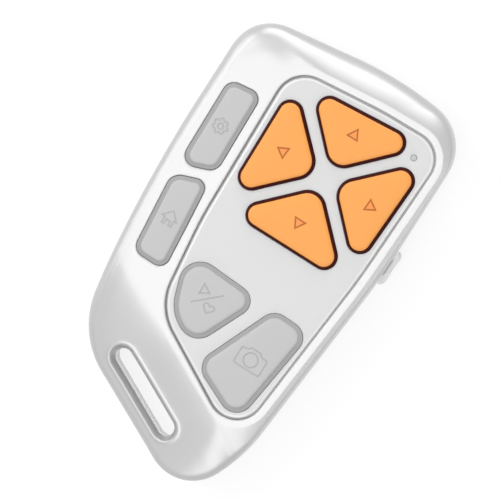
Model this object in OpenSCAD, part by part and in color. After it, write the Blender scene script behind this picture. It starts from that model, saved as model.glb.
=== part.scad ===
// Wireless camera shutter remote: two white shells round an inlaid face plate, with eight keys,
// a power switch on its right edge, a lanyard slot and a coin cell behind a turning door.
// Lengths are millimetres. The back lies on z = 0, x runs across the body and y along it,
// and the origin is the middle of the back face.

/* [Body] */
// Width of the body
body_w = 44.4; // [43.6:0.2:50]
// Length of the body
body_l = 80.4; // [79:0.2:92]
// Height of the seam between the two shells
seam_z = 6; // [5.8:0.1:6.3]
// Height of the rim round the face plate
rim_z = 12.3; // [12.2:0.1:13.4]
// Thickness of the side walls
wall_t = 1.6; // [1.3:0.1:1.7]
// Thickness of the rear shell's floor
floor_t = 1.4; // [1.2:0.1:1.4]
// Thickness of the front shell's top
top_t = 1.6; // [1.4:0.1:1.8]
// How far the rear shell rounds in towards the back
back_round = 2.4; // [1.2:0.1:2.6]
// Height of the tongue that keys the shells together
tongue_h = 0.8; // [0.4:0.1:1]
// Distance of the tongue from the outer face
tongue_in = 0.8; // [0.6:0.05:0.9]
// Fall of the front shell towards the lanyard slot, per unit of length
slot_fall = 0.35; // [0.1:0.05:0.4]
// Fullness of the shoulder's curve, which is an ellipse at 2
shoulder_fullness = 2.8; // [2:0.1:3]

/* [Face plate] */
// Width of the shoulder between the body's left side and the face plate
shoulder_w = 12; // [11.4:0.1:12.6]
// Length of the chin between the body's lower end and the face plate
chin_l = 14.7; // [14:0.1:15.4]
// Thickness of the face plate
plate_t = 1.2; // [1:0.1:1.3]
// How far the plate lies below the rim
plate_drop = 0.3; // [0.1:0.05:0.4]
// Width of the ledge under the plate's edge
ledge_w = 0.5; // [0.3:0.05:0.55]
// Thickness of that ledge
ledge_t = 1; // [0.7:0.1:1.1]
// Width of the ledge's root outside the plate's edge
ledge_root_w = 0.9; // [0.6:0.05:1]
// Distance between the recess and the body's right side
plate_side_gap = 2; // [1.9:0.1:2.4]
// Distance between the recess and the body's top end
plate_top_gap = 5.7; // [5:0.1:6]

/* [Keys] */
// Distance between the arrow keys' reach and the face plate's sides
pad_side_gap = 1.2; // [1.1:0.05:1.6]
// Distance between the arrow keys' reach and the plate's top edge
pad_top_gap = 1.15; // [1.05:0.05:1.4]
// Radius of an arrow window's inner tip
arrow_tip_r = 3.3; // [2:0.1:3.6]
// Radius of an arrow window's outer corners
arrow_corner_r = 2.4; // [1.6:0.1:2.6]
// Distance between a side key and the body's left side
side_key_left_gap = 3.7; // [3.6:0.1:4.2]
// Distance between a side key and the face plate
side_key_right_gap = 1.7; // [1.6:0.1:2]
// Length of a side key's window
side_key_l = 16.8; // [16:0.1:17]
// Distance between the middles of the two side keys
side_key_pitch = 18.1; // [17.9:0.1:18.6]
// Height of the arrow keys above the plate
arrow_key_rise = 0.9; // [0.6:0.1:1.4]
// Height of the play and camera keys above the plate
low_key_rise = 0.4; // [0.2:0.1:1]
// Height of the side keys above the shell
side_key_rise = 0.2; // [0.1:0.1:0.8]
// Gap between a key and its window
key_gap = 0.15; // [0.1:0.05:0.3]
// Rounding of a key's top edge
key_edge_r = 0.35; // [0.2:0.05:0.45]
// Travel of a key
key_travel = 0.5; // [0.2:0.05:0.6]
// Width of the flange that holds a key in
flange_w = 0.4; // [0.3:0.05:0.45]
// Thickness of that flange
flange_t = 0.8; // [0.5:0.1:0.9]
// Diameter of the post under a key
key_post_d = 3.2; // [2.4:0.1:4]

/* [Lanyard slot] */
// Width of the slot
slot_w = 3.9; // [3:0.1:4.1]
// Length of the slot from end to end
slot_l = 18.2; // [14:0.2:18.6]
// Turn of the slot against the x axis
slot_turn = -27.4; // [-29:0.2:-25]
// Wall left round the slot
slot_wall = 1.2; // [0.9:0.1:1.4]
// Distance from the slot's middle to the crease where the front starts to fall
crease_gap = 8.7; // [8:0.1:8.8]

/* [Circuit board] */
// Thickness of the board
board_t = 1; // [0.8:0.1:1.1]
// Gap between the board and the side walls
board_gap = 0.4; // [0.3:0.1:1]
// Width of a tact switch
tact_w = 4.5; // [3.5:0.1:5]
// Height of a tact switch's housing
tact_h = 1.6; // [1.4:0.1:1.8]
// Diameter of a tact switch's plunger
plunger_d = 2.3; // [1.6:0.1:2.6]
// Diameter of the light pipe that shows in the face plate
light_d = 1.1; // [0.8:0.1:1.4]
// Side of the radio chip
chip_w = 5; // [4:0.1:6]
// Height of the radio chip
chip_h = 0.9; // [0.6:0.1:1.2]

/* [Battery] */
// Diameter of the coin cell
cell_d = 20; // [18:0.1:20.3]
// Height of the coin cell
cell_h = 3.2; // [2.9:0.1:3.3]
// Room for the contact between cell and board
contact_room = 0.95; // [0.8:0.05:1.1]
// How far the battery door reaches past the ring on it
door_lip = 0.4; // [0.2:0.05:0.7]
// Thickness of the battery door
door_t = 1.3; // [1.1:0.05:1.3]
// How far the door lies inside the back
door_recess = 0.1; // [0.05:0.05:0.2]
// Width of the coin groove in the door
coin_groove_w = 1.8; // [1.2:0.1:2.4]
// Depth of that groove
coin_groove_h = 0.6; // [0.3:0.1:0.8]
// Turn that unlocks the battery door
door_turn = 50; // [42:1:70]
// Length of the door's bayonet tabs
tab_l = 1.6; // [1.2:0.1:1.8]
// Angle that a bayonet tab covers
tab_angle = 24; // [16:1:26]
// Thickness of the contact strips
strip_t = 0.2; // [0.15:0.05:0.3]
// Width of the contact strips
strip_w = 4; // [3:0.1:5]

/* [Power switch] */
// Length of the switch knob
knob_l = 6.7; // [6.2:0.1:7.5]
// Height of the switch knob
knob_h = 2.2; // [1.8:0.1:2.4]
// How far the knob stands out of the wall
knob_out = 1.1; // [0.9:0.05:1.6]
// Depth of the finger dip in the knob
knob_dip = 0.4; // [0.1:0.05:0.5]
// Gap between the knob and the wall
knob_gap = 0.25; // [0.2:0.05:0.4]
// Travel of the knob
knob_travel = 2; // [1:0.1:2.4]
// Length of the neck behind the knob
neck_l = 3; // [2:0.1:3.4]
// Height of that neck
neck_h = 1.4; // [1:0.1:1.5]
// Length of the switch's case
power_l = 8.6; // [8:0.1:10]
// Depth of the switch's case
power_d = 3.6; // [3:0.1:4]
// Height of the switch's case
power_h = 2.4; // [2:0.1:2.6]

/* [Screws] */
// Diameter of a screw's shank
screw_d = 1.6; // [1.3:0.1:1.7]
// Length of a screw under its head
screw_l = 7.6; // [6.5:0.1:7.8]
// Diameter of a screw's head
screw_head_d = 3; // [2.6:0.1:3]
// Height of a screw's head
screw_head_h = 1; // [0.8:0.1:1.1]
// How far a screw's head lies inside the back
screw_sink = 0.5; // [0.3:0.1:0.7]
// Diameter of a screw post
post_d = 4.4; // [4:0.1:4.6]

/* [Hidden] */
// How far a cut runs past what it cuts
overrun = 0.5;
// Gap between pieces that lie or slide against each other
fit_gap = 0.1;
// Smallest radius that a shrunk corner keeps
least_r = 0.2;
// Facets of a round post, pin or bore
round_fn = 48;
// Steps in each rounded corner of the shells and the plate
corner_steps = 8;
// Steps in each rounded corner of a key
key_steps = 7;
// Steps in each round end of the lanyard slot
slot_steps = 16;

// Corners as [x, y, radius], anticlockwise: x and radius as shares of the width, y of the length
body_shares = [
    [0.268, -0.539, 0.190],
    [0.400, -0.374, 0.669],
    [0.491, 0.113, 2.6],
    [0.503, 0.482, 0.197],
    [0.131, 0.506, 1.486],
    [-0.486, 0.465, 0.180],
    [-0.510, 0.023, 5.7],
    [-0.434, -0.341, 0.358],
];
// Corners of the crown, where the shoulder ends, as shares of the body's sizes
crown_shares = [
    [0.259, -0.480, 0.146],
    [0.360, -0.361, 0.560],
    [0.466, 0.106, 2.5],
    [0.491, 0.4465, 0.142],
    [0.169, 0.4455, 1.13],
    [-0.419, 0.423, 0.135],
    [-0.450, 0.022, 4.5],
    [-0.378, -0.313, 0.270],
];
// Corners of the face plate as shares of its width and length
plate_shares = [
    [0.338, -0.554, 0.171],
    [0.465, 0.045, 3.98],
    [0.508, 0.501, 0.165],
    [0.079, 0.499, 1.592],
    [-0.500, 0.475, 0.184],
    [-0.498, -0.039, 2.32],
    [-0.444, -0.328, 0.324],
];
// Corners of the arrow windows as shares of pad_reach, with the inner tip first
up_shares = [[0, 0.091], [0.910, 1.007], [-0.788, 0.897]];
right_shares = [[0.098, 0.001], [0.906, -0.824], [1.006, 0.894]];
down_shares = [[0, -0.106], [-0.886, -0.992], [0.898, -1.005]];
left_shares = [[-0.091, -0.003], [-0.970, 0.861], [-0.979, -0.880]];
// Corners of the other windows as shares of their own width and length
play_shares = [
    [-0.353, -0.342, 0.534],
    [0.125, -0.612, 0.280],
    [0.607, 0.446, 0.199],
    [-0.615, 0.529, 0.293],
];
camera_shares = [
    [-0.576, -0.298, 0.240],
    [0.301, -0.578, 0.241],
    [0.533, 0.487, 0.216],
    [-0.050, 0.505, 0.244],
];
settings_shares = [
    [0.497, -0.413, 0.364],
    [0.489, 0.513, 0.288],
    [-0.482, 0.472, 0.318],
    [-0.499, -0.553, 0.318],
];
home_shares = [
    [0.576, -0.502, 0.303],
    [0.394, 0.541, 0.273],
    [-0.574, 0.407, 0.394],
    [-0.419, -0.496, 0.333],
];
// Sizes and middles of the play and camera windows as shares of the plate's sizes
play_size_shares = [0.4375, 0.2117];
play_place_shares = [-0.211, -0.247];
camera_size_shares = [0.434, 0.3217];
camera_place_shares = [0.160, -0.316];
// Place of the light from the middle of the arrow keys, as shares of their reach
light_place_shares = [0.793, 0.786];
// Places on the body as shares of its width and length
slot_place_shares = [-0.0705, -0.372];
cell_place_shares = [-0.034, 0.168];
chip_place_shares = [0.112, 0.004];
crystal_place_shares = [-0.05, 0.012];
antenna_place_shares = [0.248, -0.353];
switch_place_share = 0.141;
side_keys_place_share = 0.103;
// Places of the small capacitors from the chip's middle, as shares of the chip's side
capacitor_place_shares = [[-0.9, 0.3], [-0.9, -0.3], [0.9, 0.3], [0.9, -0.3], [-0.3, -0.8], [0.3, -0.8]];

// Turns of the rings up the front shoulder, from the seam to the crown
shoulder_turns = [0, 18, 36, 54, 72, 90];
// How far the rings inside the crown are drawn towards the plate's middle
crown_pull_shares = [0.12, 0.24, 0.36, 0.8];
// The same two for the hollow inside the front shell
hollow_turns = [0, 35, 62, 90];
hollow_pull_shares = [0.18, 0.36, 0.8];
// Rings up the rear shell's rounded side
back_rings = 5;
// Rings round a key's top edge
key_rings = 3;
// Shrinking of the crown for the hollow under it
crown_wall = 0.5;
// Length over which the fall towards the slot sets in
crease_blend = 2;
// Height of the step in the rear shell's hollow above its floor
hollow_step_h = 1.2;
// Shrinking of that step as a share of the back's rounding
hollow_step_share = 0.38;
// How much further right the home key lies
home_key_shift = 0.5;
// Count of the door's tabs, the turn of the first and the play of a tab in its notch, in degrees
tab_count = 3;
tab_turn = 30;
tab_play = 3;
// Depth of the hole in a tact switch under its plunger when pressed
plunger_room = 0.2;
// Length of a plunger below the housing's top when pressed
plunger_root = 0.4;
// Height of the status light on the board
led_h = 0.6;
// Length and width of the status light
led_l = 1.6;
led_w = 0.8;
// Diameter of the light pipe's foot
light_foot_d = 1.6;
// Length, width and height of the crystal
crystal_l = 3.2;
crystal_w = 2.5;
crystal_h = 0.7;
// Length, width and height of the chip antenna
antenna_l = 6;
antenna_w = 1.8;
antenna_h = 1;
// Length, width and height of a capacitor
capacitor_l = 1;
capacitor_w = 0.5;
capacitor_h = 0.5;
// Height and radial gap of the ring on the door round the cell
door_ring_h = 0.8;
door_ring_gap = 0.3;
// Thickness of the door's ring and of the wall round the battery well
door_ring_t = 1.1;
well_t = 0.9;
// Gap between that wall and the board
well_gap = 0.6;
// Length of the coin groove as a share of the door's diameter
coin_groove_share = 0.62;
// Length of the hairpin contact, and of the clip's foot
hairpin_l = 8;
clip_foot_l = 2;
// Gap between the clip and the door's ring
clip_gap = 0.3;
// Distances of the screws from the body's sides and top, from the side keys and from the slot
screw_left_gap = 6.7;
screw_right_gap = 5.3;
screw_top_gap = 6.6;
screw_key_gap = 5.2;
screw_low_gap = 7.7;
screw_low_drop = 2.1;
screw_slot_gap = 5.5;
screw_slot_drop = 3.6;
// Gap round a screw in its holes
screw_gap = 0.1;
// Gap between a screw's tip and the end of its hole
screw_tip_gap = 0.2;
// Play of the neck at each end of its notch
neck_play = 0.3;
// How far the neck reaches into the switch's case
neck_reach = 0.8;
// Steps along the knob's outer face
knob_steps = 20;
// Rounding of the knob's ends: smaller is squarer
knob_end_share = 0.3;
// Length and width of the cross in a screw's head as shares of its diameter
cross_share = 0.6;
cross_w_share = 0.16;
// Count of the arrow keys, and of the keys in the face plate with them
arrow_count = 4;
plate_count = 6;

// Heights
plate_z = rim_z - plate_drop;
ledge_z = plate_z - plate_t;
ceiling_z = rim_z - top_t;
cell_z = door_recess + door_t + fit_gap / 2;
board_z = cell_z + cell_h + contact_room;
board_top = board_z + board_t;
housing_z = board_top + tact_h;
plunger_z = housing_z + key_travel + fit_gap / 2;
seat_z = screw_sink + screw_head_h;
screw_tip_z = seat_z + screw_l;
switch_z = board_z - power_h / 2;

// Diameters of the ring on the battery door, the door and its well, and the step between two tabs
tab_step = 360 / tab_count;
ring_in = cell_d + 2 * door_ring_gap;
ring_out = ring_in + 2 * door_ring_t;
door_d = ring_out + 2 * door_lip;
well_d = door_d + 2 * tab_l;

// Places and sizes that follow from the body
plate_w = body_w - shoulder_w - plate_side_gap;
plate_l = body_l - chin_l - plate_top_gap;
pad_reach = plate_w / 2 - pad_side_gap;
side_key_w = shoulder_w - side_key_left_gap - side_key_right_gap;
play_size = scaled(play_size_shares, plate_w, plate_l);
camera_size = scaled(camera_size_shares, plate_w, plate_l);
plate_place = [body_w / 2 - plate_side_gap - plate_w / 2, body_l / 2 - plate_top_gap - plate_l / 2];
pad_place = [plate_place.x, plate_place.y + plate_l / 2 - pad_top_gap - pad_reach];
play_place = plate_place + scaled(play_place_shares, plate_w, plate_l);
camera_place = plate_place + scaled(camera_place_shares, plate_w, plate_l);
light_place = pad_place + pad_reach * light_place_shares;
slot_place = scaled(slot_place_shares, body_w, body_l);
cell_place = scaled(cell_place_shares, body_w, body_l);
chip_place = scaled(chip_place_shares, body_w, body_l);
settings_place = [
    side_key_left_gap + side_key_w / 2 - body_w / 2,
    side_keys_place_share * body_l + side_key_pitch / 2,
];
home_place = [settings_place.x + home_key_shift, settings_place.y - side_key_pitch];
screw_places = [
    [screw_left_gap - body_w / 2, settings_place.y + side_key_l / 2 + screw_key_gap],
    [body_w / 2 - screw_right_gap, body_l / 2 - screw_top_gap],
    slot_place + [slot_l / 2 + screw_slot_gap, -screw_slot_drop],
    [screw_low_gap - body_w / 2, home_place.y - side_key_l / 2 - screw_key_gap - screw_low_drop],
];

// Outlines
body_corners = sized(body_shares, body_w, body_l, [0, 0]);
crown_corners = sized(crown_shares, body_w, body_l, [0, 0]);
plate_corners = sized(plate_shares, plate_w, plate_l, plate_place);

// The keys: names, windows, height of the face round each and of the ceiling over its flange
key_names = ["up", "right", "down", "left", "play", "camera", "settings", "home"];
key_windows = [
    arrow(up_shares),
    arrow(right_shares),
    arrow(down_shares),
    arrow(left_shares),
    sized(play_shares, play_size.x, play_size.y, play_place),
    sized(camera_shares, camera_size.x, camera_size.y, camera_place),
    sized(settings_shares, side_key_w, side_key_l, settings_place),
    sized(home_shares, side_key_w, side_key_l, home_place),
];
plate_keys = [0 : plate_count - 1];
side_keys = [plate_count : len(key_names) - 1];
key_tops = [
    for (i = [0 : len(key_names) - 1])
        i < arrow_count ? plate_z + arrow_key_rise
        : i < plate_count ? plate_z + low_key_rise
        : rim_z + side_key_rise
];

// A place or a table of corners made from shares
function scaled(share, w, l) = [share.x * w, share.y * l];
function sized(shares, w, l, place) = [for (s = shares) [place.x + s.x * w, place.y + s.y * l, s.z * w]];
function arrow(shares) = [
    for (i = [0 : len(shares) - 1])
        [
            pad_place.x + shares[i].x * pad_reach,
            pad_place.y + shares[i].y * pad_reach,
            i == 0 ? arrow_tip_r : arrow_corner_r,
        ]
];

// The points of a convex outline with rounded corners, drawn inwards by inset
function flat(p) = [p.x, p.y];
function outward(a, b) = let(d = (b - a) / norm(b - a)) [d.y, -d.x];
function rounded(corners, inset = 0, steps = corner_steps) = [
    for (i = [0 : len(corners) - 1])
        let(
            n = len(corners),
            here = flat(corners[i]),
            before = outward(flat(corners[(i + n - 1) % n]), here),
            after = outward(here, flat(corners[(i + 1) % n])),
            r = max(corners[i].z - inset, least_r),
            centre = here - (before + after) / (1 + before * after) * (inset + r),
            start = atan2(before.y, before.x),
            turn = acos(min(1, before * after))
        )
        for (k = [0 : steps])
            let(a = start + turn * k / steps) centre + r * [cos(a), sin(a)]
];
function stadium(l, w) = [
    for (side = [0, 180], k = [0 : slot_steps])
        let(a = side - 90 + 180 * k / slot_steps)
            [cos(side) * (l - w) / 2 + w / 2 * cos(a), w / 2 * sin(a)]
];
function middle(corners) = [for (c = corners) 1] * [for (c = corners) flat(c)] / len(corners);
function blend(a, b, t) = [for (i = [0 : len(a) - 1]) a[i] * (1 - t) + b[i] * t];
function drawn_in(points, place, t) = [for (p = points) p * (1 - t) + place * t];
function lifted(points, z) = [for (p = points) [p.x, p.y, z]];

// How far the front falls towards the slot at a point
fall_way = [sin(slot_turn), -cos(slot_turn)];
function fall(p) =
    let(q = max(0, fall_way * (flat(p) - slot_place) + crease_gap)) slot_fall * q * q / (q + crease_blend);

// Where the body's right side lies at a height y, and how it leans there
body_points = rounded(body_corners);
function edge_x(y) = max([
    for (i = [0 : len(body_points) - 1])
        let(p = body_points[i], q = body_points[(i + 1) % len(body_points)])
            if ((p.y - y) * (q.y - y) <= 0 && p.y != q.y)
                p.x + (q.x - p.x) * (y - p.y) / (q.y - p.y)
]);
switch_y = switch_place_share * body_l;
switch_lean = atan((edge_x(switch_y + neck_l) - edge_x(switch_y - neck_l)) / (2 * neck_l));

// A closed solid through rings of points that all have the same count
module loft(rings) {
    n = len(rings[0]);
    last = len(rings) - 1;
    points = [for (ring = rings, p = ring) p];
    sides = [
        for (i = [0 : last - 1], j = [0 : n - 1])
            let(a = i * n + j, b = i * n + (j + 1) % n)
                each [[a, a + n, b + n], [a, b + n, b]]
    ];
    bottom = [[for (j = [0 : n - 1]) j]];
    top = [[for (j = [0 : n - 1]) last * n + n - 1 - j]];
    polyhedron(points, concat(bottom, sides, top));
}

// A slab with a rounded outline between two heights
module slab(corners, inset, low, high, steps = corner_steps) {
    translate([0, 0, low])
        linear_extrude(high - low)
            polygon(rounded(corners, inset, steps));
}

// A round bar and a ring between two heights
module bar(place, d, low, high) {
    translate([place.x, place.y, low])
        cylinder(h = high - low, d = d, $fn = round_fn);
}
module ring(place, inner, outer, low, high) {
    difference() {
        bar(place, outer, low, high);
        bar(place, inner, low - overrun, high + overrun);
    }
}

// The lanyard slot, and the block round it that stays solid
module slot_cut() {
    translate([slot_place.x, slot_place.y, -overrun])
        rotate(slot_turn)
            linear_extrude(rim_z + 2 * overrun)
                polygon(stadium(slot_l, slot_w));
}
module slot_block(grow) {
    half = slot_l / 2 + slot_wall + grow;
    side = slot_w / 2 + slot_wall + grow;
    translate([slot_place.x, slot_place.y, -overrun])
        rotate(slot_turn)
            translate([-half, side - body_w, 0])
                cube([2 * half, body_w, rim_z + 2 * overrun]);
}

// A share of the shoulder's rise or width, drawn out by its fullness
function full(share) = pow(share, 2 / shoulder_fullness);

// The outer form of the front shell: a shoulder up to the crown, then the top that falls to the slot
module front_form() {
    outline = rounded(body_corners);
    crown = rounded(crown_corners);
    loft(concat(
        [
            for (a = shoulder_turns)
                [
                    for (p = blend(outline, crown, 1 - full(cos(a))))
                        [p.x, p.y, seam_z + (rim_z - fall(p) - seam_z) * full(sin(a))]
                ]
        ],
        [
            for (t = crown_pull_shares)
                [for (p = drawn_in(crown, plate_place, t)) [p.x, p.y, rim_z - fall(p)]]
        ]
    ));
}
module front_hollow() {
    outline = rounded(body_corners, wall_t);
    crown = rounded(crown_corners, crown_wall);
    loft(concat(
        [lifted(outline, seam_z - overrun)],
        [
            for (a = hollow_turns)
                [
                    for (p = blend(outline, crown, 1 - cos(a)))
                        [p.x, p.y, seam_z + (ceiling_z - fall(p) - seam_z) * sin(a)]
                ]
        ],
        [
            for (t = hollow_pull_shares)
                [for (p = drawn_in(crown, plate_place, t)) [p.x, p.y, ceiling_z - fall(p)]]
        ]
    ));
}

module front_shell() {
    color("white")
        difference() {
            front_form();
            difference() {
                front_hollow();
                slab(plate_corners, -ledge_root_w, ledge_z - ledge_t, rim_z);
                slot_block(0);
                for (place = screw_places)
                    bar(place, post_d, board_top, rim_z);
            }
            slab(plate_corners, ledge_w, ledge_z - ledge_t - overrun, rim_z);
            slab(plate_corners, 0, ledge_z, rim_z + overrun);
            for (i = side_keys)
                slab(key_windows[i], 0, ceiling_z - overrun, rim_z + overrun, key_steps);
            difference() {
                slab(body_corners, tongue_in, seam_z - overrun, seam_z + tongue_h + fit_gap);
                slab(body_corners, wall_t + fit_gap, seam_z - 2 * overrun, rim_z);
                slot_block(0);
            }
            slot_cut();
            for (place = screw_places)
                bar(place, screw_d + 2 * screw_gap, board_z, screw_tip_z + screw_tip_gap);
        }
}

// The notch for the knob's neck, in the wall and the tongue above it
module neck_notch() {
    at_switch()
        translate([-wall_t - overrun, -knob_travel - neck_l / 2 - neck_play, -neck_h / 2 - fit_gap])
            cube([wall_t + 2 * overrun, knob_travel + neck_l + 2 * neck_play, seam_z]);
}

module rear_shell() {
    color("whitesmoke")
        difference() {
            union() {
                loft([
                    for (k = [0 : back_rings])
                        let(a = 90 * k / back_rings)
                            lifted(rounded(body_corners, back_round * (1 - sin(a))), seam_z * (1 - cos(a)))
                ]);
                difference() {
                    slab(body_corners, tongue_in + fit_gap, seam_z - overrun, seam_z + tongue_h);
                    slab(body_corners, wall_t, seam_z - 2 * overrun, rim_z);
                    slot_block(fit_gap);
                }
            }
            difference() {
                union() {
                    slab(body_corners, wall_t, floor_t + hollow_step_h, rim_z);
                    slab(body_corners, wall_t + hollow_step_share * back_round, floor_t, rim_z);
                }
                slot_block(0);
                for (place = screw_places)
                    bar(place, post_d, 0, board_z);
                ring(cell_place, well_d, well_d + 2 * well_t, 0, board_z - well_gap);
            }
            slot_cut();
            bar(cell_place, door_d + 4 * fit_gap, -overrun, floor_t + overrun);
            for (k = [0 : tab_count - 1])
                translate([cell_place.x, cell_place.y, -overrun])
                    rotate(tab_turn + tab_step * k - door_turn - tab_angle / 2 - tab_play)
                        rotate_extrude(angle = tab_angle + 2 * tab_play, $fn = round_fn)
                            translate([door_d / 2 - tab_l, 0])
                                square([2 * tab_l - fit_gap, floor_t + 2 * overrun]);
            for (place = screw_places) {
                bar(place, screw_d + 2 * screw_gap, -overrun, rim_z);
                bar(place, screw_head_d + 2 * screw_gap, -overrun, seat_z);
            }
            neck_notch();
        }
}

module face_plate() {
    color("gainsboro")
        difference() {
            slab(plate_corners, fit_gap, ledge_z, plate_z);
            for (i = plate_keys)
                slab(key_windows[i], 0, ledge_z - overrun, plate_z + overrun, key_steps);
            bar(light_place, light_d, ledge_z - overrun, plate_z + overrun);
        }
}

// One key: a cap with a rounded top edge, the flange that holds it in and the post on its switch
module key(i) {
    window = key_windows[i];
    top = key_tops[i];
    flange_z = (i < plate_count ? ledge_z : ceiling_z) - fit_gap;
    color(i < arrow_count ? "sandybrown" : "silver")
        union() {
            loft(concat(
                [lifted(rounded(window, key_gap, key_steps), flange_z - flange_t / 2)],
                [
                    for (k = [0 : key_rings])
                        let(a = 90 * k / key_rings)
                            lifted(
                                rounded(window, key_gap + key_edge_r * (1 - cos(a)), key_steps),
                                top - key_edge_r * (1 - sin(a))
                            )
                ]
            ));
            slab(window, -flange_w, flange_z - flange_t, flange_z, key_steps);
            bar(middle(window), key_post_d, plunger_z, flange_z - flange_t / 2);
        }
}

module plunger(i) {
    color("dimgray")
        bar(middle(key_windows[i]), plunger_d, housing_z - plunger_root, plunger_z);
}

module tact_switch(i) {
    place = middle(key_windows[i]);
    color("black")
        difference() {
            translate([place.x - tact_w / 2, place.y - tact_w / 2, board_top])
                cube([tact_w, tact_w, tact_h]);
            bar(
                place,
                plunger_d + 2 * fit_gap,
                housing_z - plunger_root - key_travel - plunger_room,
                housing_z + overrun
            );
        }
}

module circuit_board() {
    half = slot_l / 2 + slot_wall + board_gap;
    side = slot_w / 2 + slot_wall + board_gap;
    color("darkgreen")
        difference() {
            slab(body_corners, wall_t + board_gap, board_z, board_top);
            translate([slot_place.x, slot_place.y, 0])
                rotate(slot_turn)
                    translate([half - body_w, side - body_w, 0])
                        cube([body_w, body_w, rim_z]);
            for (place = screw_places)
                bar(place, screw_d + 4 * screw_gap, board_z - overrun, board_top + overrun);
        }
}

// A box on the board's upper side
module board_box(place, l, w, h) {
    translate([place.x - l / 2, place.y - w / 2, board_top])
        cube([l, w, h]);
}
module radio_chip() {
    color("darkslategray")
        board_box(chip_place, chip_w, chip_w, chip_h);
}
module crystal() {
    color("silver")
        board_box(scaled(crystal_place_shares, body_w, body_l), crystal_l, crystal_w, crystal_h);
}
module antenna() {
    color("lightyellow")
        board_box(scaled(antenna_place_shares, body_w, body_l), antenna_l, antenna_w, antenna_h);
}
module capacitors() {
    color("tan")
        for (s = capacitor_place_shares)
            board_box(chip_place + s * chip_w, capacitor_l, capacitor_w, capacitor_h);
}
module status_led() {
    color("lightcyan")
        board_box(light_place, led_l, led_w, led_h);
}
module light_pipe() {
    color("lightgray") {
        bar(light_place, light_d - fit_gap, ledge_z - fit_gap, plate_z);
        bar(light_place, light_foot_d, board_top + led_h + fit_gap, ledge_z - fit_gap / 2);
    }
}

module coin_cell() {
    color("silver")
        bar(cell_place, cell_d, cell_z, cell_z + cell_h);
}

// A strip bent in a profile and laid in the x and z plane at a place
module strip(place, turn, profile) {
    translate([place.x, place.y, 0])
        rotate(turn)
            translate([0, strip_w / 2, 0])
                rotate([90, 0, 0])
                    linear_extrude(strip_w)
                        polygon(profile);
}
module contact_negative() {
    half = hairpin_l / 2;
    low = cell_z + cell_h + fit_gap;
    color("gold")
        strip(cell_place, 0, [
            [-half, board_z],
            [-half, board_z - strip_t],
            [half - strip_t, board_z - strip_t],
            [half - strip_t, low + strip_t],
            [-half / 2, low + strip_t],
            [-half / 2, low],
            [half, low],
            [half, board_z],
        ]);
}
module contact_positive() {
    near = cell_d / 2 + fit_gap;
    low = floor_t + door_ring_h + clip_gap;
    color("gold")
        strip(cell_place, -90, [
            [near, low],
            [near + strip_t, low],
            [near + strip_t, board_z - strip_t],
            [near + clip_foot_l, board_z - strip_t],
            [near + clip_foot_l, board_z],
            [near, board_z],
        ]);
}

module battery_door() {
    ring_z = door_recess + door_t;
    groove = coin_groove_share * door_d;
    color("white")
        difference() {
            union() {
                bar(cell_place, door_d, door_recess, ring_z);
                ring(cell_place, ring_in, ring_out, ring_z - fit_gap, ring_z + door_ring_h);
                for (k = [0 : tab_count - 1])
                    translate([cell_place.x, cell_place.y, floor_t + fit_gap])
                        rotate(tab_turn + tab_step * k - tab_angle / 2)
                            rotate_extrude(angle = tab_angle, $fn = round_fn)
                                translate([ring_in / 2 + door_ring_t / 2, 0])
                                    square([
                                        door_d / 2 + tab_l - 4 * fit_gap - ring_in / 2 - door_ring_t / 2,
                                        door_ring_h - fit_gap,
                                    ]);
            }
            translate([cell_place.x - groove / 2, cell_place.y - coin_groove_w / 2, -overrun])
                cube([groove, coin_groove_w, overrun + door_recess + coin_groove_h]);
        }
}

// Moves what is drawn with x out of the wall and y along it to the power switch's place
module at_switch() {
    translate([edge_x(switch_y), switch_y, switch_z])
        rotate(-switch_lean)
            children();
}
module power_switch() {
    out = -wall_t - board_gap;
    color("dimgray")
        at_switch()
            difference() {
                translate([out - power_d, -knob_travel / 2 - power_l / 2, -power_h / 2])
                    cube([power_d, power_l, power_h]);
                translate([
                    out - neck_reach - fit_gap,
                    -knob_travel - neck_l / 2 - fit_gap,
                    -neck_h / 2 - fit_gap,
                ])
                    cube([
                        neck_reach + fit_gap + overrun,
                        knob_travel + neck_l + 2 * fit_gap,
                        neck_h + 2 * fit_gap,
                    ]);
            }
}
module power_knob() {
    inner = -wall_t - board_gap - neck_reach;
    face = [
        for (k = [0 : knob_steps])
            let(
                a = 180 * k / knob_steps,
                y = knob_l / 2 * cos(a),
                dip = knob_dip * (1 + cos(360 * y / knob_l)) / 2
            )
                [knob_gap + (knob_out - knob_gap - dip) * pow(sin(a), knob_end_share), y]
    ];
    color("whitesmoke")
        at_switch()
            union() {
                translate([0, 0, -knob_h / 2])
                    linear_extrude(knob_h)
                        polygon(face);
                translate([inner, -neck_l / 2, -neck_h / 2])
                    cube([knob_gap + fit_gap - inner, neck_l, neck_h]);
            }
}

module case_screws() {
    color("silver")
        for (place = screw_places) {
            cross = [screw_head_d * cross_share, screw_head_d * cross_w_share, screw_head_h];
            difference() {
                union() {
                    bar(place, screw_head_d, screw_sink, seat_z);
                    bar(place, screw_d, seat_z - fit_gap, screw_tip_z);
                }
                for (turn = [0, 90])
                    translate([place.x, place.y, screw_sink])
                        rotate(turn)
                            cube(cross, center = true);
            }
        }
}

front_shell();
rear_shell();
face_plate();
for (i = [0 : len(key_names) - 1]) {
    key(i);
    plunger(i);
    tact_switch(i);
}
circuit_board();
radio_chip();
crystal();
antenna();
capacitors();
status_led();
light_pipe();
coin_cell();
contact_positive();
contact_negative();
battery_door();
power_switch();
power_knob();
case_screws();
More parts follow.
